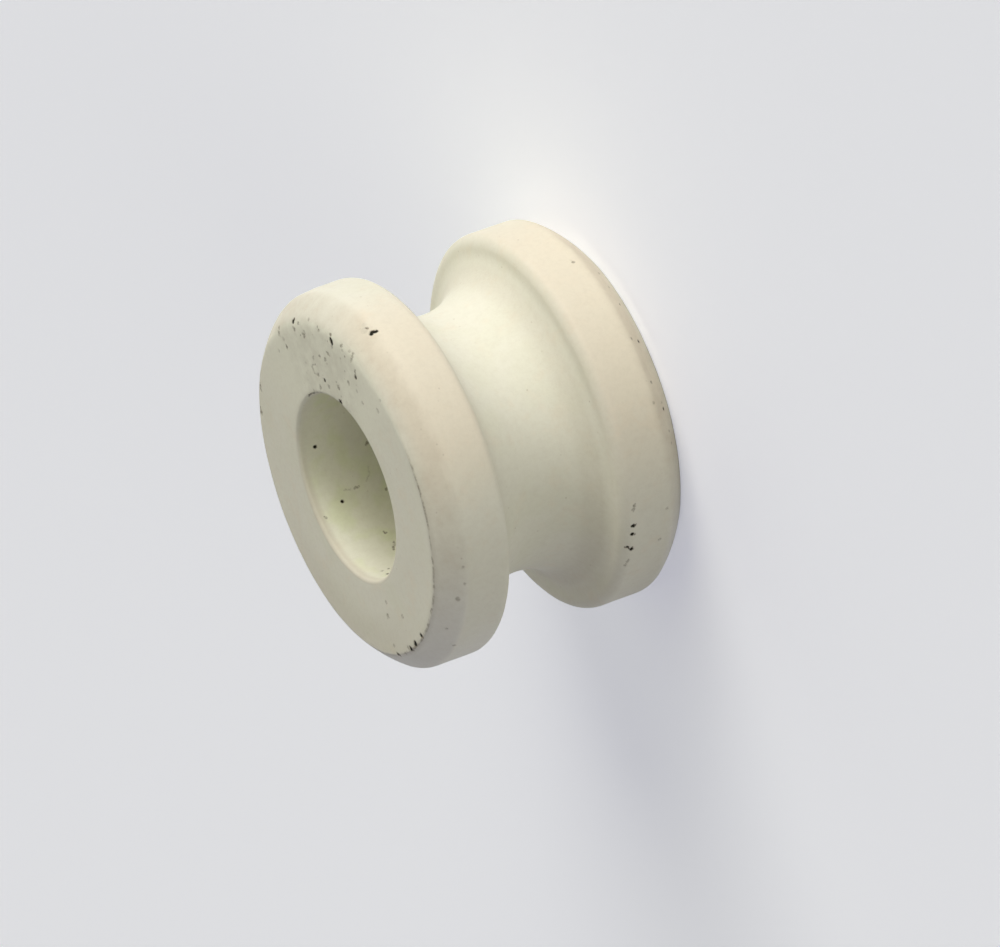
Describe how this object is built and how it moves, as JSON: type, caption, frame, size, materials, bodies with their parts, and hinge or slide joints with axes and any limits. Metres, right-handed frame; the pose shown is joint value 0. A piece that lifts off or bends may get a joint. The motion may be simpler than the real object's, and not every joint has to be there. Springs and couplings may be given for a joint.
{
  "type": "grooved insulator",
  "caption": "White ceramic spool insulator with a wide rounded groove between two chamfered flanges and a plain through bore, for holding a wire or cord off what it is fixed to.",
  "frame": {"origin": "middle of the lower end face, on the axis of the bore", "axes": "+Z along the bore, from the end face it stands on to the other end face; the piece is turned, so X and Y are any two directions across it"},
  "size_m": [0.016, 0.016, 0.0115],
  "materials": {
    "ceramic": "unglazed matt ivory, lightly soiled"
  },
  "bodies": {
    "root": {"insulator": "ceramic"}
  },
  "joints": []
}
